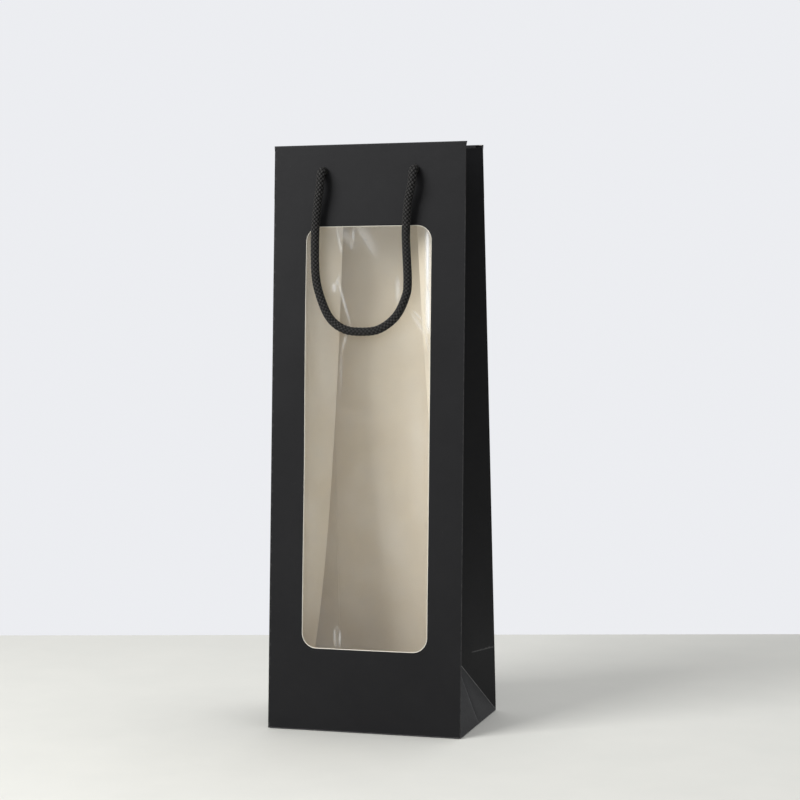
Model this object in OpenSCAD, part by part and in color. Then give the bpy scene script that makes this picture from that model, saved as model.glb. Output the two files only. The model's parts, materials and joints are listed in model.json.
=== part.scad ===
// Tall paper gift bag for one wine bottle, with a clear front window and two braided cord handles.
// The base stands at z = 0, the front faces -Y and the cords hang down outside the panels.
// Every flat area between two creases of the folded blank is a node of its own.

/* [Bag] */
// Width of the front and back panels, mm
bag_w = 120; // [110:1:140]
// Depth of the base and blank width of each gusset, mm
bag_d = 85; // [76:1:100]
// Height of the panels along the paper, mm
bag_h = 350; // [330:5:400]
// Inward lean of the front and back panels, degrees
lean = 3.75; // [3:0.25:4.25]
// Thickness of the paper, mm
paper_t = 0.4; // [0.3:0.1:0.5]

/* [Window] */
// Width of the window opening, mm
window_w = 78; // [50:1:90]
// Height of the window opening, mm
window_h = 252; // [120:2:260]
// Height of the window's lower edge above the base crease, mm
window_z = 49; // [45:1:60]
// Radius of the window's corners, mm
window_r = 9; // [4:1:15]
// Thickness of the window film, mm
film_t = 0.2; // [0.2:0.1:0.4]
// Width of the film outside the opening, mm
film_lap = 7; // [5:1:10]

/* [Handles] */
// Distance between the two cord holes, mm
hole_gap = 57; // [50:1:64]
// Distance of the cord holes below the top edge, mm
hole_drop = 16; // [14:1:20]
// Diameter of the cord, mm
cord_d = 5; // [4:0.5:5]
// Outer diameter of the stop knots, mm
knot_d = 12.5; // [11:0.5:13]

/* [Hem] */
// Height of the turned-in hem, mm
hem_h = 32; // [24:1:34]
// Thickness of the stiffening card under the hem, mm
card_t = 0.8; // [0.6:0.1:1]

/* [Base] */
// Thickness of the loose base board, mm
board_t = 1; // [0.8:0.1:2]
// Length of the glued base flaps, mm
flap_l = 52; // [46:1:58]

/* [Hidden] */
$fn = 48;

// Clearance at every crease between two pieces that turn against each other
crease = 0.3;
// Distance of hem and card from the side edges, clear of the folded gussets
hem_side = 5;
// Drop of the gusset's top edge below the panels' top edge
gusset_drop = 1.5;
// Air between the gusset and its turned-in hem
ply_gap = 0.1;
// Lower edge of panels and gusset feet, above the base flaps
skirt = paper_t + 1.15 * crease;
// Cord hole diameter and the turning line of each handle in front of its panel
hole_d = cord_d + 0.6;
pivot_y = 4.8;
hole_z = bag_h - hole_drop;
hem_z = bag_h - hem_h;
// Panel, card and hem together, where the cord passes
wall_t = 2 * paper_t + card_t;
// Bounds of the film and of the glue line that holds it
glue_t = 0.15;
glue_w = 4;
// Steps along and across a bent gusset half
rows = 16;
cols = 4;
// Sides of a cord and steps between two of its route points
cord_sides = 10;
cord_steps = 4;

// Handle loop from hole to hole as it hangs: x as a part of the hole distance,
// y out from the panel face, z up from the cord holes
loop_route = [
    [-0.5, 4.8, 0], [-0.5, 5.8, -8], [-0.53, 5.4, -20], [-0.56, 4.2, -37],
    [-0.555, 3.4, -62], [-0.49, 3.2, -77], [-0.385, 3.1, -88.5], [-0.23, 3.1, -94.6],
    [-0.04, 3.1, -96], [0.15, 3.1, -94.4], [0.325, 3.1, -87], [0.425, 3.2, -76],
    [0.45, 3.4, -66], [0.43, 4.2, -38], [0.455, 5.4, -20], [0.49, 5.8, -8], [0.5, 4.8, 0]
];

paper = [0.16, 0.16, 0.17];
inner = [0.62, 0.58, 0.51];
card = [0.66, 0.62, 0.55];
film = [0.85, 0.88, 0.9, 0.35];
glue = [0.8, 0.8, 0.76, 0.6];
cord = [0.09, 0.09, 0.1];

// Moves a shape drawn upright, outer face on y = 0, onto the leaning front or back panel
module on_front() {
    translate([0, -bag_d / 2, 0])
        rotate([-lean, 0, 0])
            children();
}

module on_back() {
    rotate([0, 0, 180])
        on_front()
            children();
}

// Upright plate between two depths, centred on x
module plate(w, z0, z1, y0, y1) {
    translate([-w / 2, y0, z0])
        cube([w, y1 - y0, z1 - z0]);
}

// Upright plate with round corners that share the window's centre
module round_plate(grow, y0, y1) {
    w = window_w + 2 * grow;
    h = window_h + 2 * grow;
    r = window_r + grow;
    translate([0, y1, window_z + window_h / 2])
        rotate([90, 0, 0])
            linear_extrude(y1 - y0) {
                square([w - 2 * r, h], center = true);
                square([w, h - 2 * r], center = true);
                for (x = [-1, 1], y = [-1, 1])
                    translate([x * (w / 2 - r), y * (h / 2 - r)])
                        circle(r = r);
            }
}

module cord_holes() {
    for (x = [-1, 1])
        translate([x * hole_gap / 2, wall_t + 1, hole_z])
            rotate([90, 0, 0])
                cylinder(d = hole_d, h = wall_t + 2);
}

module panel_sheet() {
    difference() {
        plate(bag_w, skirt, bag_h - paper_t, 0, paper_t);
        cord_holes();
    }
}

// Hem folded over the top edge and down inside the card
module hem_sheet() {
    w = bag_w - 2 * hem_side;
    difference() {
        union() {
            plate(w, hem_z, bag_h - paper_t, paper_t + card_t, wall_t);
            plate(bag_w, bag_h - paper_t, bag_h, 0, paper_t);
            plate(w, bag_h - paper_t, bag_h, paper_t, wall_t);
        }
        cord_holes();
    }
}

module card_sheet() {
    difference() {
        plate(bag_w - 2 * hem_side, hem_z + 2, bag_h - paper_t, paper_t, paper_t + card_t);
        cord_holes();
    }
}

// Angle between a gusset half and the depth direction at height h along the paper:
// the half keeps its blank width while the panels lean together
function fold(h) = acos((1 - 2 * max(h, bag_d / 2) * sin(lean) / bag_d) / cos(lean));

// Distance from the panel's side edge at which a gusset layer clears the panel's layers
function edge_gap(h, stack, depth) = (stack + depth * sin(fold(h)) + crease) / cos(fold(h));

// Point of a gusset half: u across the paper from the panel's edge, h up, depth inward
function gusset_point(side, end, u, h, depth) =
    let (f = fold(h))
    let (off_panel = u * cos(f) - depth * sin(f))
    [
        side * (bag_w / 2 - u * sin(f) - depth * cos(f)),
        end * (bag_d / 2 - h * sin(lean) - off_panel * cos(lean)),
        h * cos(lean) - off_panel * sin(lean)
    ];

// One layer of a gusset half, above the fold that runs up from the base corner at 45 degrees
module gusset_layer(side, end, z0, z1, stack, depth0, depth1) {
    u_end = bag_d / 2 - 1.2 * crease;
    layer = (rows + 1) * (cols + 1);
    points = [
        for (d = [depth0, depth1])
            for (i = [0:rows])
                for (j = [0:cols])
                    let (e0 = edge_gap(z0, stack, depth1))
                    let (low = max(z0, e0 + (u_end - e0) * j / cols + 1.5 * crease))
                    let (h = low + (z1 - low) * i / rows)
                    let (e = edge_gap(h, stack, depth1))
                    gusset_point(side, end, e + (u_end - e) * j / cols, h, d)
    ];
    cell = [for (i = [0:rows - 1]) for (j = [0:cols - 1]) i * (cols + 1) + j];
    up = cols + 1;
    faces = concat(
        [for (c = cell) [c, c + 1, c + up + 1]],
        [for (c = cell) [c, c + up + 1, c + up]],
        [for (c = cell) [layer + c, layer + c + up + 1, layer + c + 1]],
        [for (c = cell) [layer + c, layer + c + up, layer + c + up + 1]],
        [for (j = [0:cols - 1]) each rim(j, j + 1, layer)],
        [for (j = [0:cols - 1]) each rim(rows * up + j + 1, rows * up + j, layer)],
        [for (i = [0:rows - 1]) each rim((i + 1) * up, i * up, layer)],
        [for (i = [0:rows - 1]) each rim(i * up + cols, (i + 1) * up + cols, layer)]
    );
    polyhedron(points, [for (f = faces) side * end > 0 ? f : [f[2], f[1], f[0]]]);
}

// Two triangles that close the edge between the layers' points a and b
function rim(a, b, layer) = [[a, layer + a, b], [b, layer + a, layer + b]];

module gusset_half(side, end) {
    color(paper)
        gusset_layer(side, end, 0, bag_h - gusset_drop, paper_t, 0, paper_t);
}

module gusset_hem(side, end) {
    color(paper)
        gusset_layer(side, end, hem_z, bag_h - gusset_drop, wall_t, paper_t + ply_gap, 2 * paper_t + ply_gap);
}

// Triangle between the base's side crease and the two 45 degree folds
module gusset_foot(side) {
    low = skirt;
    half = bag_d / 2 - low - 1.5 * crease;
    top = bag_d / 2 - 1.5 * crease;
    color(paper)
        scale([side, 1, 1])
            translate([bag_w / 2, 0, 0])
                rotate([0, -fold(0), 0])
                    translate([-paper_t, 0, 0])
                        rotate([90, 0, 90])
                            linear_extrude(paper_t)
                                polygon([[-half, low], [half, low], [0, top]]);
}

// Closed tube along a route, with flat ends
module tube(route, r) {
    n = len(route) - 1;
    m = cord_sides;
    points = [
        for (i = [0:n])
            let (t = unit(route[min(i + 1, n)] - route[max(i - 1, 0)]))
            let (a = unit(cross(t, [0, 1, 0])))
            let (b = cross(t, a))
            for (k = [0:m - 1])
                route[i] + r * (cos(360 * k / m) * a + sin(360 * k / m) * b)
    ];
    faces = concat(
        [[for (k = [m - 1:-1:0]) k]],
        [[for (k = [0:m - 1]) n * m + k]],
        [for (i = [0:n - 1]) for (k = [0:m - 1])
            [i * m + k, i * m + (k + 1) % m, (i + 1) * m + (k + 1) % m, (i + 1) * m + k]]
    );
    polyhedron(points, faces);
}

function unit(v) = v / norm(v);

// Smooth route through hand-chosen points
function smooth(p) = concat(
    [for (i = [0:len(p) - 2]) for (s = [0:cord_steps - 1])
        bend(p[max(i - 1, 0)], p[i], p[i + 1], p[min(i + 2, len(p) - 1)], s / cord_steps)],
    [p[len(p) - 1]]
);

function bend(a, b, c, d, t) =
    0.5 * (2 * b + (c - a) * t + (2 * a - 5 * b + 4 * c - d) * t * t
        + (3 * b - a - 3 * c + d) * t * t * t);

// Handle loop, hanging in front of its panel from just outside one hole to the other
module handle_loop() {
    color(cord)
        tube(smooth([for (p = loop_route) [p[0] * hole_gap, -p[1], hole_z + p[2]]]), cord_d / 2);
}

// Cord end through the hole, with a wrapped stop knot and a short tail inside the bag
module stop_knot(side) {
    wrap = knot_d / 4 - 0.8;
    pitch = 1.7 * wrap;
    stub = pivot_y - 2.8;
    color(cord)
        translate([side * hole_gap / 2, 0, hole_z])
            rotate([-90, 0, 0]) {
                translate([0, 0, -stub])
                    cylinder(d = cord_d, h = stub + wall_t + 2 * wrap + pitch);
                for (k = [0, 1])
                    translate([0, 0, wall_t + 0.1 + wrap + k * pitch])
                        rotate_extrude()
                            translate([knot_d / 2 - wrap, 0])
                                circle(r = wrap);
                translate([0, 0, wall_t + wrap + pitch])
                    rotate([-70, 0, 0])
                        cylinder(d = cord_d - 0.6, h = knot_d + 3);
            }
}

module front_panel() {
    color(paper)
        on_front()
            difference() {
                panel_sheet();
                round_plate(0, -1, paper_t + 1);
            }
}

module back_panel() {
    color(paper)
        on_back()
            panel_sheet();
}

module left_gusset_front() {
    gusset_half(-1, -1);
}

module left_gusset_back() {
    gusset_half(-1, 1);
}

module right_gusset_front() {
    gusset_half(1, -1);
}

module right_gusset_back() {
    gusset_half(1, 1);
}

module left_gusset_foot() {
    gusset_foot(-1);
}

module right_gusset_foot() {
    gusset_foot(1);
}

module front_hem() {
    color(paper)
        on_front()
            hem_sheet();
}

module back_hem() {
    color(paper)
        on_back()
            hem_sheet();
}

module left_gusset_front_hem() {
    gusset_hem(-1, -1);
}

module left_gusset_back_hem() {
    gusset_hem(-1, 1);
}

module right_gusset_front_hem() {
    gusset_hem(1, -1);
}

module right_gusset_back_hem() {
    gusset_hem(1, 1);
}

module front_card() {
    color(card)
        on_front()
            card_sheet();
}

module back_card() {
    color(card)
        on_back()
            card_sheet();
}

// Flap that joins the blank's two ends, glued inside the back panel by its left edge
module seam_flap() {
    color(inner)
        on_back()
            translate([bag_w / 2 - 12, 0, 0])
                plate(14, 8, hem_z - 1, paper_t, 2 * paper_t);
}

// Outermost base flap, hinged at the back crease
module base_flap_back() {
    cut = 6;
    w = bag_w / 2 - crease;
    y1 = bag_d / 2 - crease;
    y0 = y1 - flap_l;
    color(paper)
        linear_extrude(paper_t)
            polygon([[-w, y1], [-w, y0 + cut], [cut - w, y0], [w - cut, y0], [w, y0 + cut], [w, y1]]);
}

// Front base flap, stepped up over the back flap's edge
module base_flap_front() {
    y0 = crease - bag_d / 2;
    y1 = y0 + bag_d - flap_l - 3 * crease;
    y2 = y0 + flap_l;
    w = bag_w - 8 * crease;
    t = paper_t;
    color(paper)
        translate([-w / 2, 0, 0])
            rotate([90, 0, 90])
                linear_extrude(w)
                    polygon([[y0, 0], [y1 - 2 * t, 0], [y1, t], [y2, t], [y2, 2 * t],
                        [y1 - t, 2 * t], [y1 - 3 * t, t], [y0, t]]);
}

// Side flap folded in first, narrowed at 45 degrees by the corner folds
module base_tuck(side) {
    x0 = bag_w / 2 - 4 * crease;
    l = 26;
    w = bag_d / 2 - 4 * crease;
    color(paper)
        translate([0, 0, 2 * paper_t])
            linear_extrude(paper_t)
                polygon([[side * x0, -w], [side * x0, w], [side * (x0 - l), w - l], [side * (x0 - l), l - w]]);
}

module base_tuck_left() {
    base_tuck(-1);
}

module base_tuck_right() {
    base_tuck(1);
}

module base_board() {
    color(card)
        translate([5 / 2 - bag_w / 2, 3 / 2 - bag_d / 2, 3 * paper_t])
            cube([bag_w - 5, bag_d - 3, board_t]);
}

module window_film() {
    color(film)
        on_front()
            round_plate(film_lap, paper_t + glue_t, paper_t + glue_t + film_t);
}

// Glue line between the panel and the film, all round the opening
module window_glue() {
    color(glue)
        on_front()
            difference() {
                round_plate(film_lap - 1, paper_t, paper_t + glue_t);
                round_plate(film_lap - 1 - glue_w, paper_t - 1, paper_t + 1);
            }
}

module front_cord() {
    on_front()
        handle_loop();
}

module back_cord() {
    on_back()
        handle_loop();
}

module front_knot_left() {
    on_front()
        stop_knot(-1);
}

module front_knot_right() {
    on_front()
        stop_knot(1);
}

module back_knot_left() {
    on_back()
        stop_knot(1);
}

module back_knot_right() {
    on_back()
        stop_knot(-1);
}

front_panel();
back_panel();
left_gusset_front();
left_gusset_back();
right_gusset_front();
right_gusset_back();
left_gusset_foot();
right_gusset_foot();
front_hem();
back_hem();
left_gusset_front_hem();
left_gusset_back_hem();
right_gusset_front_hem();
right_gusset_back_hem();
front_card();
back_card();
seam_flap();
base_flap_back();
base_flap_front();
base_tuck_left();
base_tuck_right();
base_board();
window_film();
window_glue();
front_cord();
back_cord();
front_knot_left();
front_knot_right();
back_knot_left();
back_knot_right();
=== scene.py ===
"""Black paper wine gift bag with a film window and two braided cord handles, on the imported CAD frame."""

import json
import math
from functools import lru_cache

import bmesh
import bpy
import numpy as np
from mathutils import Matrix, Vector, noise
from mathutils.geometry import delaunay_2d_cdt


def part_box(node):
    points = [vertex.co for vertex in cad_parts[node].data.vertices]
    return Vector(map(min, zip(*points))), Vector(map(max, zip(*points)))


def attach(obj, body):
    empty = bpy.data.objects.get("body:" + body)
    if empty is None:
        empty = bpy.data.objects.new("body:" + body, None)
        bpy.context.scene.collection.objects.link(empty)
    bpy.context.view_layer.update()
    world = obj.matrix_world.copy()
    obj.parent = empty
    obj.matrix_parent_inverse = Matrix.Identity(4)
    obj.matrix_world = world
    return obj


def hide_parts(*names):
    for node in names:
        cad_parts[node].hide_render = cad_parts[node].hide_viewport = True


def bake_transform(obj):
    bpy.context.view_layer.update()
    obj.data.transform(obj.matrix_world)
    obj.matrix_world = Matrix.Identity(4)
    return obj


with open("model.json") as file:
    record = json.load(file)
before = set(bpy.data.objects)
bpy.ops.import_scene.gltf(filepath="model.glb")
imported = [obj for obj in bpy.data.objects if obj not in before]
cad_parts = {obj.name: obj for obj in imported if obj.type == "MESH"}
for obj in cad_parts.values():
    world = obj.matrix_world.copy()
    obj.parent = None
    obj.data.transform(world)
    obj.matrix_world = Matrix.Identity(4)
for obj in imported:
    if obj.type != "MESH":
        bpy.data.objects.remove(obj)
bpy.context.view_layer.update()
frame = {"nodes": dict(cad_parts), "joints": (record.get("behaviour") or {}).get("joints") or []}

MM = 0.001
JOINTS = {j["name"]: j for j in frame["joints"]}

# --- The bag's driving sizes, read from the frame where it has them ---------------------------------
GUSSET_AXIS = JOINTS["left_gusset_front_fold"]["axis"]
LEAN = math.atan2(GUSSET_AXIS[1], GUSSET_AXIS[2])
HALF_W = -JOINTS["left_gusset_front_fold"]["pos_m"][0]
HALF_D = -JOINTS["front_panel_lean"]["pos_m"][1]
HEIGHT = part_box("front_hem")[1][2] / math.cos(LEAN)
HEM_H = 32 * MM  # turned in along the top edge
GUSSET_TOP = HEIGHT - 1.5 * MM
SHEET_T = 0.3 * MM
CREASE_R = 0.15 * MM  # of the curl between a panel and its gussets
ROLL_R = 0.8 * MM  # of the panels' top edge, where the hem turns in
GUSSET_ROLL_R = SHEET_T + 0.05 * MM
SCORE_H = HALF_D  # where the gussets are scored to fold flat

# Window: half width, edges and corner radius in the front panel's plane
FILM_LAP = 7 * MM  # of the film round the opening
WINDOW_HALF_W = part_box("window_film")[1][0] - FILM_LAP
WINDOW_LOW = 49 * MM
WINDOW_HIGH = WINDOW_LOW + 252 * MM
WINDOW_R = 9 * MM

# Handles: the cord holes and the cord
HOLE_X = 28.5 * MM
HOLE_Z = HEIGHT - 16 * MM
HOLE_R = 2.8 * MM
CORD_R = 2.5 * MM

# Sheet meshes: spacing of their points, and of the finer rows beside edges and scores
STEP = 4 * MM
EDGE_BAND = 0.6 * MM
ARC_STEPS = 14
CIRCLE_STEPS = 28
GRID_CLEAR = 1.6 * EDGE_BAND
EDGE_CLEAR = 0.4 * EDGE_BAND
LINE_CLEAR = 0.05 * MM
SAME_POINT = 1e-6
SHARP_ANGLE = 50

# The photograph's camera, in degrees, metres and millimetres of lens
VIEW_YAW, VIEW_PITCH, VIEW_ROLL = 16.785, 3.235, -0.465
VIEW_PLACE = (0.3673, -1.1785, 0.2652)
VIEW_LENS, VIEW_SENSOR = 91.6, 36


# --- Camera -----------------------------------------------------------------------------------------
def make_camera():
    """The photograph's view: right of the front, level with the upper half, tilted a little down."""
    yaw, pitch, roll = (math.radians(a) for a in (VIEW_YAW, VIEW_PITCH, VIEW_ROLL))
    ahead = Vector((-math.sin(yaw) * math.cos(pitch), math.cos(yaw) * math.cos(pitch), -math.sin(pitch)))
    level = Vector((math.cos(yaw), math.sin(yaw), 0))
    lift = level.cross(ahead)
    right = level * math.cos(roll) + lift * math.sin(roll)
    up = lift * math.cos(roll) - level * math.sin(roll)
    data = bpy.data.cameras.new("camera")
    data.sensor_width = VIEW_SENSOR
    data.lens = VIEW_LENS
    camera = bpy.data.objects.new("camera", data)
    camera.matrix_world = Matrix((right, up, -ahead)).transposed().to_4x4()
    camera.location = VIEW_PLACE
    bpy.context.collection.objects.link(camera)
    bpy.context.scene.camera = camera


make_camera()


# --- Places on the folded bag -----------------------------------------------------------------------
def on_panel(end, x, h, depth):
    """Point of the front (end -1) or back (end 1) panel: x across, h up the sheet, depth inward."""
    y = HALF_D - h * math.sin(LEAN) - depth * math.cos(LEAN)
    return Vector((x, end * y, h * math.cos(LEAN) - depth * math.sin(LEAN)))


def fold(h):
    """Angle of a gusset half from the depth direction, which keeps the half's width as the mouth narrows."""
    return math.acos((1 - max(h, HALF_D) * math.sin(LEAN) / HALF_D) / math.cos(LEAN))


def on_gusset(side, end, u, h, depth):
    """Point of a gusset half: u from the panel's edge, h up, depth inward."""
    a = fold(h)
    x = HALF_W - u * math.sin(a) - depth * math.cos(a)
    off_panel = u * math.cos(a) - depth * math.sin(a)
    y = HALF_D - h * math.sin(LEAN) - off_panel * math.cos(LEAN)
    return Vector((side * x, end * y, h * math.cos(LEAN) - off_panel * math.sin(LEAN)))


def on_foot(side, y, s, depth):
    """Point of the triangle at a gusset's foot: s up its slope from the base crease."""
    a = fold(0)
    x = HALF_W - s * math.sin(a) - depth * math.cos(a)
    return Vector((side * x, y, s * math.cos(a) - depth * math.sin(a)))


def rolled(s, top, radius, offset):
    """(height, depth) of a sheet that runs up to top, over a roll and down inside.

    offset is inward through the sheet."""
    start = top - radius
    turn = (s - start) / radius
    if turn <= 0:
        return s, offset
    if turn >= math.pi:
        return start - (s - start - math.pi * radius), 2 * radius - offset
    return start + (radius - offset) * math.sin(turn), radius - (radius - offset) * math.cos(turn)


def ramp(x, low, high):
    """0 below low, 1 above high and smooth between them."""
    t = min(max((x - low) / (high - low), 0), 1)
    return t * t * (3 - 2 * t)


# Bowing of the paper: how far, the noise's size and its seed
BOW, BOW_SIZE, BOW_SEED = 1.1 * MM, 0.11, 3.1
RIPPLE, RIPPLE_SIZE, RIPPLE_SEED = 0.35 * MM, 0.035, 8.7
GUSSET_BOW_MM, GUSSET_BOW_SIZE = 1.3, 0.08
FLAT_FOOT, FLAT_GUSSET_FOOT = 0.05, 0.03  # the bowing grows over this height


def soft_noise(x, y, seed, scale):
    return noise.noise(Vector((x / scale, y / scale, seed)))


def panel_warp(end, x, h):
    """How far a panel bows inward: none at its edges, its foot or its stiff hem."""
    below_hem = 1 - ramp(h, HEIGHT - 0.07, HEIGHT - 0.038)
    free = (1 - (x / HALF_W) ** 4) * ramp(h, 0, FLAT_FOOT) * below_hem
    bow = BOW * soft_noise(x, h, BOW_SEED + end, BOW_SIZE)
    return free * (bow + RIPPLE * soft_noise(x, h, RIPPLE_SEED + end, RIPPLE_SIZE))


def gusset_warp(side, end, u, h):
    """How far a gusset half bows inward: none at its creases, its foot or its hem."""
    across = math.sin(math.pi * min(max(u / HALF_D, 0), 1))
    below_hem = 1 - ramp(h, GUSSET_TOP - 0.06, GUSSET_TOP - 0.03)
    free = across * ramp(h - u, 0, FLAT_GUSSET_FOOT) * below_hem
    return free * GUSSET_BOW_MM * MM * soft_noise(u, h, 5.3 * side + 2.9 * end, GUSSET_BOW_SIZE)


# --- Sheet meshes -----------------------------------------------------------------------------------
def line(a, b, step=STEP):
    """Points from a towards b, without b."""
    n = max(1, round((Vector(b) - Vector(a)).length / step))
    return [tuple(Vector(a).lerp(Vector(b), i / n)) for i in range(n)]


def polygon(corners, step=STEP):
    """Points round a polygon's straight sides."""
    return [p for i, a in enumerate(corners) for p in line(a, corners[(i + 1) % len(corners)], step)]


def arc(centre, radius, start, turn, n):
    return [
        (centre[0] + radius * math.cos(a), centre[1] + radius * math.sin(a))
        for a in (start + turn * i / n for i in range(n))
    ]


def circle(x, y, radius):
    return arc((x, y), radius, 0, math.tau, CIRCLE_STEPS)


def rounded(half_w, low, high, radius, step):
    """Rounded rectangle centred on x = 0."""
    points = []
    for x, y, start in (
        (half_w - radius, high - radius, 0),
        (radius - half_w, high - radius, 90),
        (radius - half_w, low + radius, 180),
        (half_w - radius, low + radius, 270),
    ):
        points += arc((x, y), radius, math.radians(start), math.pi / 2, ARC_STEPS)
        stop = math.radians(start + 90)
        points.append((x + radius * math.cos(stop), y + radius * math.sin(stop)))
    out = []
    for i, p in enumerate(points):
        out += line(p, points[(i + 1) % len(points)], step)
    return out


def inside(points, poly):
    """Even-odd test of many points against one polygon."""
    x, y = points[:, 0], points[:, 1]
    hit = np.zeros(len(points), bool)
    a = np.array(poly)
    for (x1, y1), (x2, y2) in zip(a, np.roll(a, -1, 0)):
        cross = (y1 > y) != (y2 > y)
        hit ^= cross & (x < (x2 - x1) * (y - y1) / ((y2 - y1) or 1e-12) + x1)
    return hit


def edge_distance(points, poly):
    """Distance of each point from a polygon's nearest side."""
    best = np.full(len(points), np.inf)
    a = np.array(poly)
    for p, q in zip(a, np.roll(a, -1, 0)):
        best = np.minimum(best, segment_distance(points, p, q))
    return best


def segment_distance(points, p, q):
    """Distance of each point from the segment p to q."""
    p, q = np.array(p), np.array(q)
    d = q - p
    t = np.clip((points - p) @ d / (d @ d), 0, 1)
    return np.linalg.norm(points - p - t[:, None] * d, axis=1)


def band(poly, sign):
    """Points a short way inside (sign 1) or outside (-1) a counter-clockwise polygon's edges."""
    a = np.array(poly)
    before, after = np.roll(a, 1, 0), np.roll(a, -1, 0)
    d = after - before
    d /= np.linalg.norm(d, axis=1)[:, None]
    return a + sign * EDGE_BAND * np.stack([-d[:, 1], d[:, 0]], 1)


def triangulate(outline, holes, lines, step):
    """(2D points, triangles) of a flat sheet with holes, finer beside its edges and score lines."""
    loops = [outline] + list(holes)
    fixed, edges = [], []
    for loop in loops:
        n = len(fixed)
        fixed += [tuple(p) for p in loop]
        edges += [(n + i, n + (i + 1) % len(loop)) for i in range(len(loop))]
    extra = [band(outline, 1)] + [band(h, -1) for h in holes]
    for p, q in lines:
        along = [tuple(v)[:2] for v in line(p, q, 0.7 * step)] + [q]
        n = len(fixed)
        fixed += along
        edges += [(n + i, n + i + 1) for i in range(len(along) - 1)]
        d = np.array(q) - np.array(p)
        beside = EDGE_BAND * np.array([-d[1], d[0]]) / np.linalg.norm(d)
        extra += [np.array(along) + beside, np.array(along) - beside]
    low, high = np.min(outline, 0), np.max(outline, 0)
    rows = [np.arange(low[k] + step / 2, high[k], step) for k in range(2)]
    gx, gy = np.meshgrid(*rows)
    grid = np.stack([gx.ravel(), gy.ravel()], 1)
    far = np.ones(len(grid), bool)
    for loop in loops:
        far &= edge_distance(grid, loop) > GRID_CLEAR
    for p, q in lines:
        far &= segment_distance(grid, p, q) > EDGE_BAND
    extra.append(grid[far])
    free = np.concatenate(extra)
    keep = inside(free, outline) & (edge_distance(free, outline) > EDGE_CLEAR)
    for p, q in lines:
        keep &= segment_distance(free, p, q) > LINE_CLEAR
    for h in holes:
        keep &= ~inside(free, h) & (edge_distance(free, h) > EDGE_CLEAR)
    points = [Vector(p) for p in fixed] + [Vector(p) for p in free[keep]]
    out = delaunay_2d_cdt(points, edges, [], 0, SAME_POINT)
    flat = np.array([tuple(p) for p in out[0]])
    triangles = np.array(out[2])
    middle = flat[triangles].mean(1)
    good = inside(middle, outline)
    for h in holes:
        good &= ~inside(middle, h)
    return flat, triangles[good]


def link(name, mesh, materials):
    """An object for a mesh, in the scene and with its materials."""
    obj = bpy.data.objects.new(name, mesh)
    bpy.context.collection.objects.link(obj)
    for m in materials:
        mesh.materials.append(m)
    return obj


def sheet_piece(
    name, outline, place, materials, holes=(), lines=(), scuff_and_highlight=(), thickness=SHEET_T, step=STEP,
    coated_from=math.inf, bevel=0,
):
    """A thin sheet cut to outline and holes, then folded by place(x, s, offset through the sheet).

    materials are the outer face's, the inner face's, the outline's cut edge's and the holes' edges'.
    The lighter lines, each (point, point, strength), are partly scuffs and partly painted highlight along
    creases and edges; above coated_from the inner face is covered like the outer one.
    bevel is how much smaller the last hole is on the inner face, so that its cut edge shows."""
    flat, triangles = triangulate(outline, holes, lines, step)
    n = len(flat)
    back = flat.copy()
    if bevel:
        hole = np.array(holes[-1])
        shift = band(holes[-1], 1) - hole
        for i, (x, s) in enumerate(flat):
            nearest = np.argmin(np.abs(hole - (x, s)).sum(1))
            if np.abs(hole[nearest] - (x, s)).sum() < SAME_POINT:
                back[i] += shift[nearest] / EDGE_BAND * bevel
    points = [place(x, s, 0) for x, s in flat] + [place(x, s, thickness) for x, s in back]
    a, b, c = triangles[:, 0], triangles[:, 1], triangles[:, 2]
    sides = {}
    for i, j in np.concatenate([np.stack(p, 1) for p in ((a, b), (b, c), (c, a))]).tolist():
        if (j, i) in sides:
            del sides[(j, i)]
        else:
            sides[(i, j)] = True
    rim = [(j, i, i + n, j + n) for i, j in sides]
    faces = triangles.tolist() + (triangles[:, ::-1] + n).tolist() + rim
    cut = len(outline)
    mesh = bpy.data.meshes.new(name)
    mesh.from_pydata([tuple(p) for p in points], [], faces)
    mesh.update()
    middle = flat[triangles].mean(1)
    slots = [0] * len(triangles) + [0 if z > coated_from else 1 for z in middle[:, 1]]
    slots += [2 if i < cut or len(materials) < 4 else 3 for i, j in sides]
    mesh.polygons.foreach_set("material_index", slots)
    mesh.polygons.foreach_set("use_smooth", [True] * len(faces))
    uv = mesh.uv_layers.new(name="paper")
    corner = np.empty(len(mesh.loops), int)
    mesh.loops.foreach_get("vertex_index", corner)
    uv.data.foreach_set("uv", flat[corner % n].astype(np.float32).ravel())
    # Lighter lines: scuffs, and painted highlights along creases and edges.
    wear_and_highlight = np.zeros(n)
    for p, q, strength in scuff_and_highlight:
        near = 1 - np.clip(segment_distance(flat, p, q) / EDGE_BAND, 0, 1)
        wear_and_highlight = np.maximum(wear_and_highlight, strength * near)
    attribute = mesh.attributes.new("wear_and_highlight", "FLOAT", "POINT")
    attribute.data.foreach_set("value", np.concatenate([wear_and_highlight, wear_and_highlight]).astype(np.float32))
    obj = link(name, mesh, materials)
    facing_out(mesh)
    mesh.set_sharp_from_angle(angle=math.radians(SHARP_ANGLE))
    return obj


def facing_out(mesh):
    """Turns the faces of a closed mesh outward."""
    b = bmesh.new()
    b.from_mesh(mesh)
    bmesh.ops.recalc_face_normals(b, faces=b.faces)
    if b.calc_volume(signed=True) < 0:
        bmesh.ops.reverse_faces(b, faces=b.faces)
    b.to_mesh(mesh)
    b.free()


# --- Materials --------------------------------------------------------------------------------------
def new_material(name):
    m = bpy.data.materials.new(name)
    m.use_nodes = True
    tree = m.node_tree
    return m, tree, tree.nodes["Principled BSDF"]


def node(tree, kind, **values):
    """A shader node with the named inputs or properties set."""
    n = tree.nodes.new(kind)
    for k, v in values.items():
        if k in n.inputs:
            n.inputs[k].default_value = v
        else:
            setattr(n, k, v)
    return n


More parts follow.
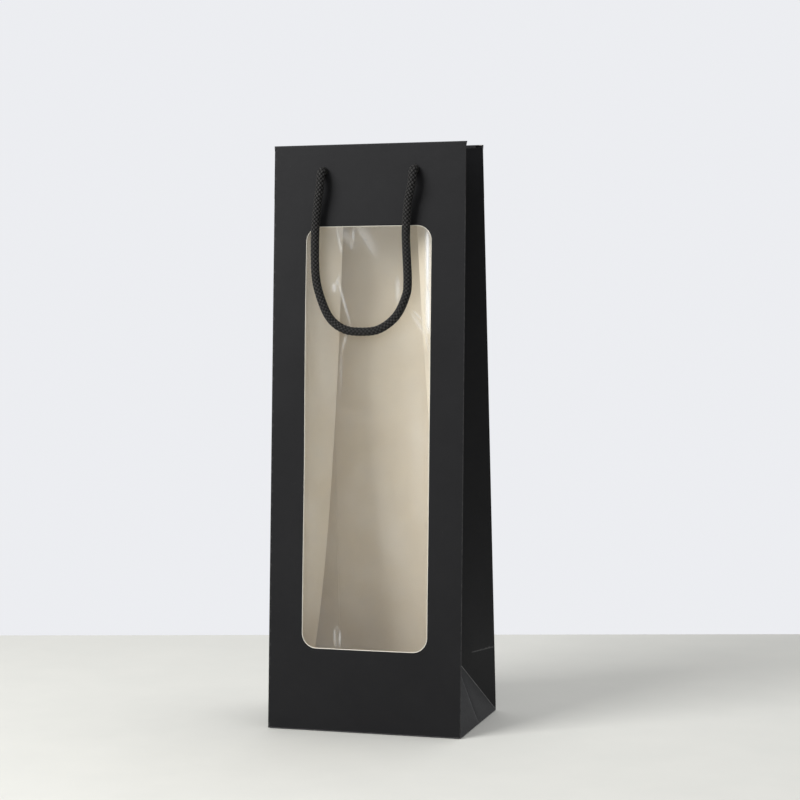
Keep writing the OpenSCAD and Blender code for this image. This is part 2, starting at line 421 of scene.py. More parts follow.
def coords(tree, uv, scale=(1, 1, 1)):
    """Texture position in metres: the flat sheet's own, or the object's."""
    source = node(tree, "ShaderNodeTexCoord")
    mapping = node(tree, "ShaderNodeMapping", Scale=scale)
    tree.links.new(source.outputs["UV" if uv else "Object"], mapping.inputs["Vector"])
    return mapping.outputs["Vector"]


def noise_at(tree, at, size, detail=3, rough=0.6):
    """Noise with features of about that size in metres."""
    n = node(tree, "ShaderNodeTexNoise", Scale=1 / size, Detail=detail, Roughness=rough)
    tree.links.new(at, n.inputs["Vector"])
    return n.outputs["Fac"]


def remap(tree, value, low, high, out_low, out_high):
    """low to high becomes out_low to out_high, and no further."""
    n = node(tree, "ShaderNodeMapRange")
    for k, v in (("From Min", low), ("From Max", high), ("To Min", out_low), ("To Max", out_high)):
        n.inputs[k].default_value = v
    tree.links.new(value, n.inputs["Value"])
    return n.outputs["Result"]


def blend_colour(tree, fac, a, b, mode="MIX"):
    n = tree.nodes.new("ShaderNodeMix")
    n.data_type = "RGBA"
    n.blend_type = mode
    if isinstance(fac, (int, float)):
        n.inputs["Factor"].default_value = fac
    else:
        tree.links.new(fac, n.inputs["Factor"])
    colour_a, colour_b = n.inputs[6], n.inputs[7]
    for socket, value in ((colour_a, a), (colour_b, b)):
        if isinstance(value, tuple):
            socket.default_value = (*value, 1)
        else:
            tree.links.new(value, socket)
    return n.outputs[2]


def math_node(tree, operation, a, b):
    n = node(tree, "ShaderNodeMath", operation=operation)
    for socket, value in zip(n.inputs, (a, b)):
        if isinstance(value, (int, float)):
            socket.default_value = value
        else:
            tree.links.new(value, socket)
    return n.outputs[0]


def attribute(tree, name):
    return node(tree, "ShaderNodeAttribute", attribute_name=name).outputs["Fac"]


def bump(tree, shader, height, distance, strength):
    n = node(tree, "ShaderNodeBump", Strength=strength, Distance=distance)
    tree.links.new(height, n.inputs["Height"])
    tree.links.new(n.outputs["Normal"], shader.inputs["Normal"])


# Sizes of the marks in paper, in metres
CLOUDS, FIBRES, FLECKS, SCUFF_AND_HIGHLIGHT_PATCHES, DIMPLES = 0.03, 0.0005, 0.0012, 0.004, 0.006
FIBRE_STRETCH = (1, 0.28, 1)
ROUGHNESS_SPREAD = 0.07
RELIEF = 0.00006


def paper(name, dark, light, scuff_and_highlight, roughness, uv=True, fibre=0.12, specks=0.0):
    """Paper: cloudy colour, fibres, scattered pale flecks, and lighter lines that are partly scuffs and
    partly painted highlight along creases.
    """
    m, tree, shader = new_material(name)
    at = coords(tree, uv)
    cloud = noise_at(tree, at, CLOUDS, 4)
    fibres = noise_at(tree, coords(tree, uv, FIBRE_STRETCH), FIBRES, 4, 0.75)
    colour = blend_colour(tree, remap(tree, cloud, 0.3, 0.7, 0, 1), dark, light)
    shade = remap(tree, fibres, 0.3, 0.7, 1 - fibre, 1 + fibre)
    grey = node(tree, "ShaderNodeCombineColor")
    for socket in grey.inputs[:3]:
        tree.links.new(shade, socket)
    colour = blend_colour(tree, 1.0, colour, grey.outputs[0], "MULTIPLY")
    if specks:
        fleck = remap(tree, noise_at(tree, at, FLECKS, 2), 0.74, 0.80, 0, specks)
        colour = blend_colour(tree, fleck, colour, scuff_and_highlight)
    # Lighter lines, partly scuffs and partly painted highlight along creases.
    patchy = remap(tree, noise_at(tree, at, SCUFF_AND_HIGHLIGHT_PATCHES, 4, 0.8), 0.35, 0.55, 0.3, 1)
    scuff_and_highlight_mask = math_node(tree, "MULTIPLY", attribute(tree, "wear_and_highlight"), patchy)
    colour = blend_colour(tree, scuff_and_highlight_mask, colour, scuff_and_highlight)
    tree.links.new(colour, shader.inputs["Base Color"])
    rough = remap(tree, fibres, 0.3, 0.7, roughness - ROUGHNESS_SPREAD, roughness + ROUGHNESS_SPREAD)
    tree.links.new(rough, shader.inputs["Roughness"])
    shader.inputs["Specular IOR Level"].default_value = 0.2
    dimples = math_node(tree, "MULTIPLY", noise_at(tree, at, DIMPLES, 3), 2.5)
    bump(tree, shader, math_node(tree, "ADD", fibres, dimples), RELIEF, 0.55)
    return m


def film_material():
    """Clear film: see-through, with a glossy coat that shows more at a slant, and painted highlights that
    whiten it along its crinkles.
    """
    m, tree, shader = new_material("film")
    shader.inputs["Base Color"].default_value = (0.93, 0.94, 0.95, 1)
    at = coords(tree, True)
    haze = noise_at(tree, at, 0.02, 4)
    tree.links.new(remap(tree, haze, 0.3, 0.7, 0.08, 0.16), shader.inputs["Roughness"])
    shader.inputs["IOR"].default_value = 1.5
    clear = node(tree, "ShaderNodeBsdfTransparent")
    slant = node(tree, "ShaderNodeLayerWeight", Blend=0.5)
    gloss = math_node(tree, "POWER", slant.outputs["Facing"], 5)
    veil = remap(tree, haze, 0.35, 0.7, 0.035, 0.055)
    share = math_node(tree, "ADD", math_node(tree, "MULTIPLY", gloss, 0.75), veil)
    # The crinkles' painted highlights, and a painted strip of light at the right edge, whiten the film.
    share = math_node(tree, "ADD", share, attribute(tree, "wear_and_highlight"))
    mix = node(tree, "ShaderNodeMixShader")
    tree.links.new(math_node(tree, "MINIMUM", share, 1.0), mix.inputs["Fac"])
    tree.links.new(clear.outputs[0], mix.inputs[1])
    tree.links.new(shader.outputs[0], mix.inputs[2])
    tree.links.new(mix.outputs[0], tree.nodes["Material Output"].inputs["Surface"])
    bump(tree, shader, noise_at(tree, at, 0.012, 3), 0.0004, 0.5)
    return m


def glue_material():
    m, tree, shader = new_material("glue")
    at = coords(tree, False)
    patch = noise_at(tree, at, 0.004, 3)
    colour = blend_colour(tree, patch, (0.75, 0.72, 0.64), (0.9, 0.89, 0.85))
    tree.links.new(colour, shader.inputs["Base Color"])
    tree.links.new(remap(tree, patch, 0.3, 0.7, 0.12, 0.3), shader.inputs["Roughness"])
    shader.inputs["Alpha"].default_value = 0.55
    bump(tree, shader, patch, 0.0003, 0.5)
    return m


# Painted shade of the braid's sunken gaps.
PAINTED_GAP_SHADE = (0.0006, 0.0006, 0.0006)
YARN_DARK = (0.008, 0.008, 0.0085)
YARN_LIGHT = (0.075, 0.073, 0.07)
LINT = (0.25, 0.24, 0.23)


def cord_material():
    """Black braided yarn: sunken gaps painted darker as shade, fine filaments along each strand."""
    m, tree, shader = new_material("cord")
    at = coords(tree, True)
    filaments = noise_at(tree, coords(tree, True, (1, 0.2, 1)), 0.0003, 3, 0.7)
    height = attribute(tree, "height")
    yarn = remap(tree, filaments, 0.3, 0.7, 0, 1)
    crown = blend_colour(tree, yarn, YARN_DARK, YARN_LIGHT)
    # Painted shade: the gaps between the crowns are darker.
    colour = blend_colour(tree, remap(tree, height, 0.6, 0.95, 0, 1), PAINTED_GAP_SHADE, crown)
    lint = remap(tree, noise_at(tree, at, 0.0016, 2), 0.77, 0.82, 0, 0.25)
    colour = blend_colour(tree, lint, colour, LINT)
    tree.links.new(colour, shader.inputs["Base Color"])
    tree.links.new(remap(tree, filaments, 0.3, 0.7, 0.6, 0.85), shader.inputs["Roughness"])
    shader.inputs["Specular IOR Level"].default_value = 0.2
    bump(tree, shader, filaments, 0.00008, 0.7)
    return m


BLACK = (0.0046, 0.0046, 0.0056)
BLACK_LIGHT = (0.0066, 0.0066, 0.0076)
# Colour of pale flecks, scuffs and painted crease highlights on the black paper.
BLACK_SCUFF_AND_HIGHLIGHT = (0.30, 0.298, 0.295)
KRAFT = (0.74, 0.655, 0.51)
KRAFT_LIGHT = (0.78, 0.705, 0.56)
CORE = (0.72, 0.68, 0.59)  # cut edges of pale paper
CORE_LIGHT = (0.8, 0.77, 0.69)
DARK_CORE, DARK_CORE_LIGHT = (0.03, 0.029, 0.03), (0.05, 0.048, 0.047)
CARD, CARD_LIGHT = (0.52, 0.47, 0.39), (0.60, 0.55, 0.46)

paper_black = paper("paper_black", BLACK, BLACK_LIGHT, BLACK_SCUFF_AND_HIGHLIGHT, 0.55, specks=0.12)
paper_black_flat = paper("paper_black_flat", BLACK, BLACK_LIGHT, BLACK_SCUFF_AND_HIGHLIGHT, 0.55, uv=False, specks=0.12)
paper_inner = paper("paper_inner", KRAFT, KRAFT_LIGHT, CORE, 0.75, fibre=0.05, specks=0.25)
paper_inner_flat = paper(
    "paper_inner_flat", KRAFT, KRAFT_LIGHT, CORE, 0.75, uv=False, fibre=0.05, specks=0.25
)
paper_core = paper("paper_core", CORE, CORE_LIGHT, CORE, 0.85, fibre=0.1)
paper_dark_core = paper("paper_dark_core", DARK_CORE, DARK_CORE_LIGHT, BLACK_SCUFF_AND_HIGHLIGHT, 0.8)
card = paper("card", CARD, CARD_LIGHT, CORE, 0.85, uv=False, fibre=0.12, specks=0.3)
film = film_material()
glue = glue_material()
cord = cord_material()

# outer face, inner face, the outline's cut edge and the holes' edges
OUTSIDE = [paper_black, paper_inner, paper_dark_core, paper_core]


# --- Paper pieces -----------------------------------------------------------------------------------
FOOT = 0.15 * MM  # gap between the walls' lower edges and the base creases
# Across the panel's flat sheet: the curl into the gusset starts here, and it is this long
LIP_FROM = HALF_W - 1 * MM
LIP_ARC = 0.6 * MM
# Up the panel's flat sheet: the roll over the top edge, then the hem
ROLL_START = HEIGHT - ROLL_R
ROLL_END = ROLL_START + math.pi * ROLL_R
HEM_END = ROLL_END + HEM_H - ROLL_R
HEM_SIDE = HALF_W - 5 * MM
WINDOW_BEVEL = 0.35 * MM
# Gusset halves: what the front ones run past the centre crease so that no light shows, what all are cut
# back along the foot's diagonal, and the width beside the panel that takes up its curl
GUSSET_LAP, GUSSET_UNDER, GUSSET_NEAR = 0.2 * MM, 0.3 * MM, 4 * MM
HEM_CLEAR, HEM_SHORT = 5.5 * MM, 1.8 * MM  # of the gusset hems: from the panel, and from the centre crease
FOOT_TIP, FOOT_DENT = 0.15 * MM, 0.35 * MM


def crease_reach(h):
    """Length of each sheet taken up by the tight curl between a panel and a gusset half."""
    return CREASE_R / math.tan((math.pi / 2 - fold(h)) / 2)


def panel_place(end):
    """The panel rolls over its top edge, and below that its side edges curl round into the gussets."""
    near = HEM_SIDE

    def place(x, s, offset):
        h, depth = rolled(s, HEIGHT, ROLL_R, offset)
        across = abs(x)
        if across > near:
            flat_end = HALF_W - crease_reach(s)
            curled = near + (across - near) / (LIP_FROM - near) * (flat_end - near)
            curled_depth = offset
            if across > LIP_FROM:
                turn = (across - LIP_FROM) / LIP_ARC * (math.pi / 2 + fold(s))
                radius = max(CREASE_R - offset, 0.02 * MM)
                curled = flat_end + radius * math.sin(turn)
                curled_depth = CREASE_R - radius * math.cos(turn)
            straight = near + (across - near) / (LIP_FROM + LIP_ARC - near) * (HALF_W - near)
            curl = 1 - ramp(s, ROLL_START - 3 * MM, ROLL_START)
            x = math.copysign(straight + (curled - straight) * curl, x)
            depth += (curled_depth - depth) * curl
        return on_panel(end, x, h, depth + panel_warp(end, min(max(x, -HALF_W), HALF_W), h))

    return place


def panel_outline():
    side, shoulder = LIP_FROM + LIP_ARC, ROLL_START + ROLL_R * 1.2
    corners = [(-side, FOOT), (side, FOOT), (side, shoulder)]
    corners += [(HEM_SIDE, ROLL_END), (-HEM_SIDE, ROLL_END), (-side, shoulder)]
    return polygon(corners, 3 * MM)


def cord_holes(height):
    return [circle(x, height, HOLE_R) for x in (-HOLE_X, HOLE_X)]


def make_panel(name, end, holes):
    edge = LIP_FROM + LIP_ARC / 2
    curl = [LIP_FROM + LIP_ARC * k / 4 for k in range(4)]
    # Lighter lines: painted highlights along the side and top edges, scuffs along the foot.
    scuff_and_highlight = [((x, 0), (x, HEIGHT), 0.18) for x in (-edge, edge)]
    scuff_and_highlight += [((-HALF_W, FOOT), (HALF_W, FOOT), 0.4), ((-HALF_W, HEIGHT), (HALF_W, HEIGHT), 0.1)]
    lines = [((k * x, 1 * MM), (k * x, ROLL_START - 0.5 * MM)) for k in (-1, 1) for x in curl]
    roll = [ROLL_START + ROLL_R * math.pi * k / 6 for k in range(4)]
    lines += [((1.2 * MM - HALF_W, z), (HALF_W - 1.2 * MM, z)) for z in roll]
    roll = [ROLL_START + ROLL_R * math.pi * k / 6 for k in range(4, 6)]
    lines += [((0.5 * MM - HEM_SIDE, z), (HEM_SIDE - 0.5 * MM, z)) for z in roll]
    obj = sheet_piece(
        name, panel_outline(), panel_place(end), OUTSIDE, cord_holes(HOLE_Z) + holes, lines, scuff_and_highlight,
        coated_from=HEIGHT - HEM_H, bevel=WINDOW_BEVEL if end < 0 else 0,
    )
    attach(obj, name)
    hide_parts(name)


def make_hem(name, body, end):
    corners = [(-HEM_SIDE, ROLL_END), (HEM_SIDE, ROLL_END), (HEM_SIDE, HEM_END), (-HEM_SIDE, HEM_END)]
    outline = polygon(corners)
    hole_height = ROLL_END + ROLL_START - HOLE_Z
    obj = sheet_piece(name, outline, panel_place(end), OUTSIDE, cord_holes(hole_height))
    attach(obj, body)
    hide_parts(name)


def window_hole():
    return rounded(WINDOW_HALF_W, WINDOW_LOW, WINDOW_HIGH, WINDOW_R, 3 * MM)


make_panel("front_panel", -1, [window_hole()])
make_panel("back_panel", 1, [])
make_hem("front_hem", "front_panel", -1)
make_hem("back_hem", "back_panel", 1)


def gusset_place(side, end):
    """A gusset half starts flush with the panel's curl, tucked beside the hem, and ends in a mitre."""
    near = GUSSET_NEAR

    def place(u, s, offset):
        h, depth = rolled(s, GUSSET_TOP, GUSSET_ROLL_R, offset)
        depth += 0.5 * max(-u, 0)
        reach = crease_reach(h)
        if u < near:
            u = reach + (near - reach) * u / near
        u += depth * math.tan(fold(h)) * ramp(u, HALF_D - 2 * MM, HALF_D)
        return on_gusset(side, end, u, h, depth + gusset_warp(side, end, u, h))

    return place


def gusset_name(side, end):
    return f"{'left' if side < 0 else 'right'}_gusset_{'front' if end < 0 else 'back'}"


def gusset_blend(obj):
    """Bakes the half's transform into its mesh."""
    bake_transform(obj)


def make_gusset_half(side, end):
    """One half with its diagonal foot, side tuck, score line and turned-in hem."""
    name = gusset_name(side, end)
    top = GUSSET_TOP - GUSSET_ROLL_R
    roll_end = top + math.pi * GUSSET_ROLL_R
    under = GUSSET_UNDER
    crease = HALF_D + GUSSET_LAP if end < 0 else HALF_D
    tuck, tuck_low = -0.25 * MM, GUSSET_TOP - HEM_H + 2 * MM
    corners = [(0, FOOT), (under, FOOT), (crease, crease - under), (crease, roll_end)]
    corners += [(tuck, roll_end), (tuck, tuck_low), (0, tuck_low - 1 * MM)]
    outline = polygon(corners, 3 * MM)
    roll = top + GUSSET_ROLL_R * math.pi / 2
    lines = [((1 * MM, z), (HALF_D - 1 * MM, z)) for z in (top + 0.1 * MM, roll)]
    lines.append(((0.4 * MM, GUSSET_TOP - HEM_H), (HALF_D - 0.4 * MM, GUSSET_TOP - HEM_H)))
    score = ((2 * MM, SCORE_H - 2 * MM), (24 * MM, SCORE_H - 0.5 * MM))
    # Lighter lines: painted highlights along the foot's diagonal, the centre crease and the score.
    scuff_and_highlight = [((under, 0), (HALF_D, HALF_D - under), 1), ((crease, crease), (crease, HEIGHT), 0.15)]
    scuff_and_highlight.append((*score, 0.3))
    obj = sheet_piece(
        name, outline, gusset_place(side, end), OUTSIDE, lines=lines + [score], scuff_and_highlight=scuff_and_highlight,
        coated_from=GUSSET_TOP - HEM_H,
    )
    gusset_blend(obj)
    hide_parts(name)
    inner, hem_end = roll_end + HEM_H - GUSSET_ROLL_R, HALF_D - HEM_SHORT
    outline = polygon([(HEM_CLEAR, roll_end), (hem_end, roll_end), (hem_end, inner), (HEM_CLEAR, inner)])
    hem = sheet_piece(name + "_hem", outline, gusset_place(side, end), OUTSIDE)
    gusset_blend(hem)
    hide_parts(name + "_hem")


def make_foot(side):
    """The triangle below a gusset's halves, with a faint crease up its middle."""
    name = f"{'left' if side < 0 else 'right'}_gusset_foot"

    def place(y, s, offset):
        crease = FOOT_DENT * math.exp(-abs(y) / (1.5 * MM))
        crease = crease * ramp(HALF_D - s - abs(y), 0, 3 * MM) * ramp(s, 0, 6 * MM)
        return on_foot(side, y, s, offset + crease)

    e = FOOT_TIP
    tip = HALF_D + e - FOOT
    outline = polygon([(-HALF_D, FOOT), (HALF_D, FOOT), (e, tip), (-e, tip)], 2 * MM)
    middle = ((0, 2 * MM), (0, HALF_D - 2 * MM))
    # Lighter lines: painted highlights along the diagonals and the middle crease, scuffs along the base.
    scuff_and_highlight = [((k * HALF_D, FOOT), (k * e, tip), 1) for k in (-1, 1)]
    scuff_and_highlight += [(*middle, 0.25), ((-HALF_D, FOOT), (HALF_D, FOOT), 0.3)]
    obj = sheet_piece(name, outline, place, OUTSIDE, lines=[middle], scuff_and_highlight=scuff_and_highlight, step=3 * MM)
    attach(obj, name)
    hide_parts(name)


for side in (-1, 1):
    for end in (-1, 1):
        make_gusset_half(side, end)
    make_foot(side)


# --- Window film ------------------------------------------------------------------------------------
# Crinkles in the film, in millimetres on the front panel: start, end, width, height and how far it whitens as
# a painted highlight
CRINKLES = [
    (-21, 302, -8, 289, 3.0, 0.12, 0.06), (-20, 300, -17, 285, 0.7, 0.06, 0.16),
    (-6, 302, 5, 284, 3.2, 0.12, 0.07), (-9, 301, -11, 287, 0.6, 0.05, 0.16),
    (-8, 302, 4, 283, 0.5, 0.05, 0.14), (-21.5, 267, -21, 262, 1.1, 0.08, 0.22),
    (-19, 269, -11, 243, 0.55, 0.08, 0.22), (-22, 262, -18, 272, 0.5, 0.08, 0.18),
    (-11, 243, -16.5, 226, 0.55, 0.08, 0.18), (-16.5, 226, -17, 198, 0.5, 0.06, 0.1),
    (18.2, 270, 18.5, 255, 1.1, 0.08, 0.16), (19.3, 271, 19.6, 254, 0.4, 0.05, 0.2),
    (27, 249, 36, 236, 1.1, 0.08, 0.12), (28, 251, 34, 244, 0.4, 0.05, 0.2),
    (35, 240, 38, 226, 0.5, 0.05, 0.12), (-18.6, 61, -17.8, 50, 0.6, 0.1, 0.16),
    (-15.4, 60, -15.2, 51, 0.5, 0.08, 0.16), (-18, 61.5, -15.6, 61, 0.5, 0.08, 0.14),
    # These two paint a bright strip of light at the window's right edge.
    (36.3, 298, 36.9, 262, 0.9, 0.08, 0.7), (36.9, 266, 37.6, 238, 1.1, 0.08, 0.6),
    (-30, 240, -20, 190, 6, 0.15, 0.02), (10, 150, 24, 90, 8, 0.15, 0.02),
    (30, 215, 33, 120, 5, 0.12, 0.03), (-34, 150, -33, 75, 4, 0.12, 0.02),
]


@lru_cache(None)
def crinkle(x, h):
    """(height, painted highlight) of the film's crinkles at a point."""
    total, white, end_part = 0, 0, 0.02
    # haze here is how strongly each crinkle is whitened as a painted highlight.
    for x1, z1, x2, z2, width, tall, haze in CRINKLES:
        p, q, at = Vector((x1, z1)) * MM, Vector((x2, z2)) * MM, Vector((x, h))
        d = q - p
        t = min(max((at - p).dot(d) / d.length_squared, 0), 1)
        away = (at - p - t * d).length / (width * MM)
        fade = math.sin(math.pi * min(max(t, end_part), 1 - end_part)) ** 0.5
        lift = math.exp(-away * away) * fade
        total += tall * MM * lift
        white = max(white, haze * lift)
    return total, white


def make_glue():
    """The line of glue that holds the film, all round the opening."""

    def place(x, h, offset):
        return on_panel(-1, x, h, SHEET_T + offset + panel_warp(-1, x, h))

    def ring(grow):
        low, high = WINDOW_LOW - grow, WINDOW_HIGH + grow
        return rounded(WINDOW_HALF_W + grow, low, high, WINDOW_R + grow, 2 * MM)

    outer, inner = ring(FILM_LAP - 1 * MM), ring(FILM_LAP - 5 * MM)
    obj = sheet_piece("window_glue", outer, place, [glue] * 3, [inner], thickness=0.15 * MM)
    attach(obj, "front_panel")
    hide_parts("window_glue")


def make_film():
    """The film behind the opening: flat on the glue, slack and crinkled inside it."""
    lap = 6.5 * MM  # a little less than the CAD film's
    low, high, half = WINDOW_LOW - lap, WINDOW_HIGH + lap, WINDOW_HALF_W + lap

    def place(x, h, offset):
        inside_edge = min(WINDOW_HALF_W - abs(x), h - WINDOW_LOW, WINDOW_HIGH - h)
        free = ramp(inside_edge, -1 * MM, 9 * MM)
        lift = crinkle(x, h)[0] + 0.3 * MM * soft_noise(x, h, 1.7, 0.04)
        depth = SHEET_T + 0.2 * MM + offset + free * (0.5 * MM - lift)
        return on_panel(-1, x, h, depth + panel_warp(-1, x, h))

    outline = rounded(half, low, high, WINDOW_R + lap, 2 * MM)
    obj = sheet_piece("window_film", outline, place, [film] * 3, thickness=0.06 * MM, step=1.1 * MM)
    flat = np.array([tuple(d.uv) for d in obj.data.uv_layers[0].data])
    # The crinkles' painted highlights, kept per point for the film's shader.
    white = np.zeros(len(obj.data.vertices), np.float32)
    for corner, (x, h) in zip(obj.data.loops, flat):
        white[corner.vertex_index] = crinkle(x, h)[1]
    obj.data.attributes["wear_and_highlight"].data.foreach_set("value", white)
    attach(obj, "front_panel")
    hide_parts("window_film")


make_glue()
make_film()


# --- Cord handles -----------------------------------------------------------------------------------
# The handle's route from hole to hole as it hangs: x as a part of the holes' distance, y out and z up in mm
LOOP_ROUTE = [
    (-0.5, -2.2, 0.0), (-0.5, 1.2, 0.1), (-0.5, 4.4, -1.6), (-0.5, 5.9, -7), (-0.51, 5.9, -13),
    (-0.53, 5.4, -20), (-0.56, 4.2, -37), (-0.555, 3.4, -62), (-0.49, 3.2, -77),
    (-0.385, 3.1, -88.5), (-0.23, 3.1, -94.6), (-0.04, 3.1, -96), (0.15, 3.1, -94.4),
    (0.325, 3.1, -87), (0.425, 3.2, -76), (0.45, 3.4, -66), (0.43, 4.2, -38), (0.455, 5.4, -20),
    (0.485, 5.9, -12), (0.5, 5.9, -7), (0.5, 4.4, -1.6), (0.5, 1.2, 0.1), (0.5, -2.2, 0.0),
]
BRAID_PITCH = 15 * MM
STRANDS = 6  # in each of the two crossing sets
AROUND = 64
CURVE_STEPS = 24
GAP_R, CROWN_R = 0.66, 0.4  # radius in the gaps, and what the crowns add, as parts of the cord's
ROPE_STEP, KNOT_STEP = 0.28 * MM, 0.4 * MM
KNOT_R = 2.15 * MM


def smooth_route(points, spacing):
    """Even points along a smooth curve through given ones."""
    p = [Vector(q) for q in points]
    p = [2 * p[0] - p[1]] + p + [2 * p[-1] - p[-2]]
    fine = []
    for a, b, c, d in zip(p, p[1:], p[2:], p[3:]):
        square, cube = 2 * a - 5 * b + 4 * c - d, 3 * b - a - 3 * c + d
        for i in range(CURVE_STEPS):
            t = i / CURVE_STEPS
            fine.append(0.5 * (2 * b + (c - a) * t + square * t**2 + cube * t**3))
    fine.append(p[-2])
    xyz = np.array([tuple(v) for v in fine])
    run = np.concatenate([[0], np.cumsum(np.linalg.norm(np.diff(xyz, axis=0), axis=1))])
    at = np.linspace(0, run[-1], max(8, round(run[-1] / spacing)) + 1)
    return np.stack([np.interp(at, run, xyz[:, k]) for k in range(3)], 1), at


def frames(path):
    """Tangent and two normals along a path that twist as little as possible."""
    t = np.gradient(path, axis=0)
    t /= np.linalg.norm(t, axis=1)[:, None]
    n = np.cross(t[0], [1, 0, 0] if abs(t[0][0]) < 0.9 else [0, 1, 0])
    normals = []
    for v in t:
        n = n - v * (n @ v)
        n /= np.linalg.norm(n)
        normals.append(n)
    normals = np.array(normals)
    return t, normals, np.cross(t, normals)


def braid_height(angle, s):
    """Height, 0 in the gaps to 1 on the crowns, of two crossing sets of strands that take turns on top."""
    turn = math.tau * s / BRAID_PITCH
    column = (angle - turn) * STRANDS / math.tau
    row = (angle + turn) * STRANDS / math.tau
    over = (np.floor(column) + np.floor(row)) % 2 < 1
    a = (column % 1 - 0.5) * 2
    b = (row % 1 - 0.5) * 2
    top_a = np.sqrt(np.clip(1 - 0.9 * a**2, 0, 1)) * (0.72 + 0.28 * np.cos(math.pi * b / 2))
    top_b = np.sqrt(np.clip(1 - 0.9 * b**2, 0, 1)) * (0.72 + 0.28 * np.cos(math.pi * a / 2))
    return np.where(over, top_a, top_b)


def rope(name, points, radius, spacing):
    """A closed braided tube along a route; returns the object and its centreline."""
    path, at = smooth_route(points, spacing)
    _, n, b = frames(path)
    angle = np.arange(AROUND) * math.tau / AROUND
    grid_angle, grid_s = np.meshgrid(angle, at)
    height = braid_height(grid_angle, grid_s)
    r = radius * (GAP_R + CROWN_R * height)
    ring = np.cos(grid_angle)[..., None] * n[:, None] + np.sin(grid_angle)[..., None] * b[:, None]
    xyz = (path[:, None] + r[..., None] * ring).reshape(-1, 3)
    rows = len(path)
    i, j = np.meshgrid(np.arange(rows - 1), np.arange(AROUND), indexing="ij")
    k = (j + 1) % AROUND
    corners = [i * AROUND + j, i * AROUND + k, (i + 1) * AROUND + k, (i + 1) * AROUND + j]
    quads = np.stack(corners, -1).reshape(-1, 4)
    start, stop = len(xyz), len(xyz) + 1
    xyz = np.concatenate([xyz, path[:1], path[-1:]])
    caps = [(start, (q + 1) % AROUND, q) for q in range(AROUND)]
    last = (rows - 1) * AROUND
    caps += [(stop, last + q, last + (q + 1) % AROUND) for q in range(AROUND)]
    mesh = bpy.data.meshes.new(name)
    mesh.from_pydata(xyz.tolist(), [], quads.tolist() + caps)
    mesh.update()
    mesh.polygons.foreach_set("use_smooth", [True] * len(mesh.polygons))
    values = np.concatenate([height.ravel(), [0.2, 0.2]]).astype(np.float32)
    mesh.attributes.new("height", "FLOAT", "POINT").data.foreach_set("value", values)
    flat = np.stack([grid_angle.ravel() * radius, grid_s.ravel()], 1)
    flat = np.concatenate([flat, [[0, 0], [0, at[-1]]]])
    uv = mesh.uv_layers.new(name="cord")
    corner = np.empty(len(mesh.loops), int)
    mesh.loops.foreach_get("vertex_index", corner)
    uv.data.foreach_set("uv", flat[corner].astype(np.float32).ravel())
    obj = link(name, mesh, [cord])
    facing_out(mesh)
    return obj, path


def knot_route(x, end):
    """In through the hole, back round itself in almost two wraps and down as a short tail.

    Points are across, up and inward from the hole, in millimetres."""
    core = 9.6
    points = [(0, 0, -0.2), (0, 0, 2.5), (0, 0, 6), (0.3, 0, core), (2.2, 0.4, core + 2.4)]
    wrap_r, turns, rise = 4.25, 1.9, 4.4
    steps = 30
    for i in range(steps + 1):
        a = math.tau * turns * i / steps
        inward = core - 0.6 - rise * turns * i / steps * 0.72
        points.append((wrap_r * math.cos(a), wrap_r * math.sin(a), inward))
    x_last, up, inward = points[-1]
    points.append((x_last - 3.2 * math.sin(a), up - 3.5, inward + 0.3))
    points.append((x_last * 0.9, up - 9, inward + 1.6))
    return [tuple(on_panel(end, (x + p[0]) * MM, HOLE_Z + p[1] * MM, p[2] * MM)) for p in points]


def make_handle(end):
    """A panel's cord with its two knots, which ride the panel."""
    word, panel = ("front", "front_panel") if end < 0 else ("back", "back_panel")
    # seen from its own side each handle hangs the same way round
    points = [tuple(on_panel(end, -end * x * 2 * HOLE_X, HOLE_Z + z * MM, -y * MM)) for x, y, z in LOOP_ROUTE]
    obj, path = rope(word + "_cord", points, CORD_R, ROPE_STEP)
    for side, x in (("left", -HOLE_X), ("right", HOLE_X)):
        knot, _ = rope(f"{word}_knot_{side}", knot_route(x / MM, end), KNOT_R, KNOT_STEP)
        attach(knot, panel)
        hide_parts(f"{word}_knot_{side}")
    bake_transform(obj)
    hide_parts(word + "_cord")


make_handle(-1)
make_handle(1)


# --- CAD nodes that stay ----------------------------------------------------------------------------
def finish_node(name, material):
    """Gives a CAD node its one material."""
    obj = frame["nodes"][name]
    obj.data.materials.clear()
    obj.data.materials.append(material)


for name in ("base_flap_back", "base_flap_front", "base_tuck_left", "base_tuck_right"):
    finish_node(name, paper_black_flat)
for name in ("front_card", "back_card", "base_board"):
    finish_node(name, card)
finish_node("seam_flap", paper_inner_flat)


# --- Stage ------------------------------------------------------------------------------------------
TABLE_HALF_W, TABLE_NEAR, TABLE_FAR = 1.2, -0.9, 0.30
TABLE_DROP = 0.0002  # below the bag's foot
TABLE_TURN = 2.2  # degrees between its far edge and the picture's horizontal


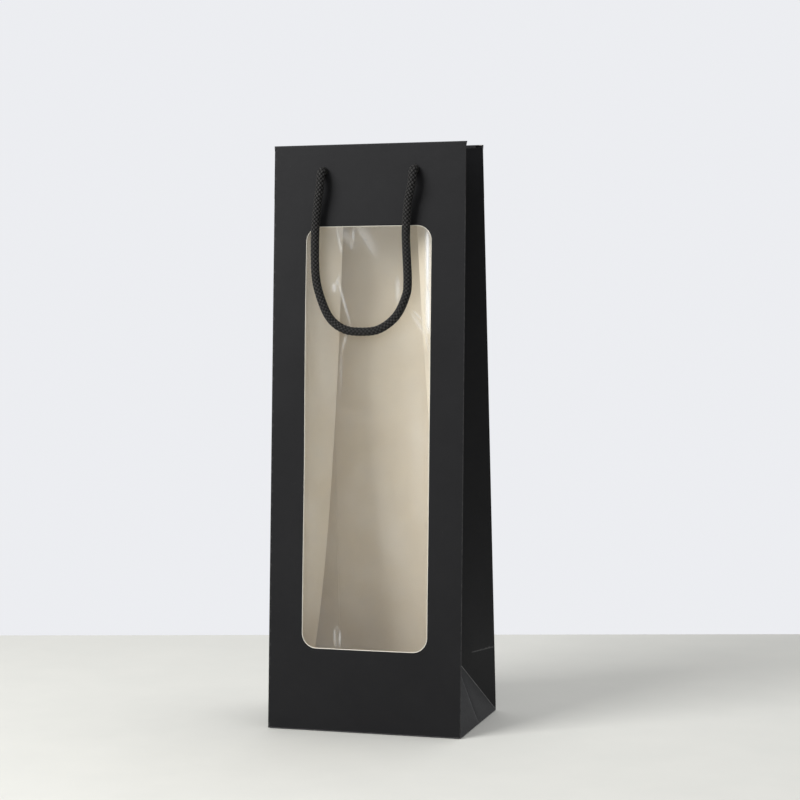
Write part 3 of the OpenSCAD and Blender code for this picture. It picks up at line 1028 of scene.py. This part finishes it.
def make_stage():
    """Plain pale table top whose far edge runs across the view."""
    turn = math.radians(VIEW_YAW - TABLE_TURN)
    across = Vector((math.cos(turn), math.sin(turn), 0))
    away = Vector((-math.sin(turn), math.cos(turn), 0))
    near = [(-TABLE_HALF_W, TABLE_NEAR), (TABLE_HALF_W, TABLE_NEAR)]
    far = [(TABLE_HALF_W, TABLE_FAR), (-TABLE_HALF_W, TABLE_FAR)]
    corners = [away * y + across * x for x, y in near + far]
    mesh = bpy.data.meshes.new("floor")
    mesh.from_pydata([tuple(c - Vector((0, 0, TABLE_DROP))) for c in corners], [], [(0, 1, 2, 3)])
    m, tree, shader = new_material("floor")
    at = coords(tree, False)
    pale = blend_colour(tree, noise_at(tree, at, 0.05, 4), (0.66, 0.66, 0.62), (0.72, 0.715, 0.67))
    tree.links.new(pale, shader.inputs["Base Color"])
    shader.inputs["Roughness"].default_value = 0.9
    link("floor", mesh, [m])


def make_world():
    """Bright white wall behind, with a dimmer room round the bag."""
    world = bpy.data.worlds.new("world")
    world.use_nodes = True
    tree = world.node_tree
    room = tree.nodes["Background"]
    room.inputs["Color"].default_value = (0.96, 0.97, 1, 1)
    direction = node(tree, "ShaderNodeSeparateXYZ")
    tree.links.new(node(tree, "ShaderNodeTexCoord").outputs["Generated"], direction.inputs[0])
    tree.links.new(remap(tree, direction.outputs["Y"], 0.2, 0.9, 0.3, 0.9), room.inputs["Strength"])
    wall = node(tree, "ShaderNodeBackground", Color=(0.84, 0.85, 0.88, 1), Strength=1.0)
    mix = node(tree, "ShaderNodeMixShader")
    path = node(tree, "ShaderNodeLightPath")
    tree.links.new(path.outputs["Is Camera Ray"], mix.inputs["Fac"])
    tree.links.new(room.outputs[0], mix.inputs[1])
    tree.links.new(wall.outputs[0], mix.inputs[2])
    tree.links.new(mix.outputs[0], tree.nodes["World Output"].inputs["Surface"])
    bpy.context.scene.world = world


def area_light(name, place, aim, size, power):
    data = bpy.data.lights.new(name, "AREA")
    data.shape = "RECTANGLE"
    data.size, data.size_y = size
    data.energy = power
    light = bpy.data.objects.new(name, data)
    light.location = place
    light.rotation_euler = (Vector(aim) - Vector(place)).to_track_quat("-Z", "Y").to_euler()
    bpy.context.collection.objects.link(light)


make_stage()
make_world()
area_light("key", place=(-0.75, -1.0, 0.95), aim=(0, 0, 0.25), size=(0.8, 0.8), power=21)
area_light("top", place=(0.3, 0.3, 1.7), aim=(0.1, 0, 0), size=(1.4, 1.0), power=10)
area_light("fill", place=(0.2, -1.5, 0.2), aim=(0, 0, 0.12), size=(0.9, 0.5), power=1.6)
bpy.context.scene.view_settings.view_transform = "Standard"
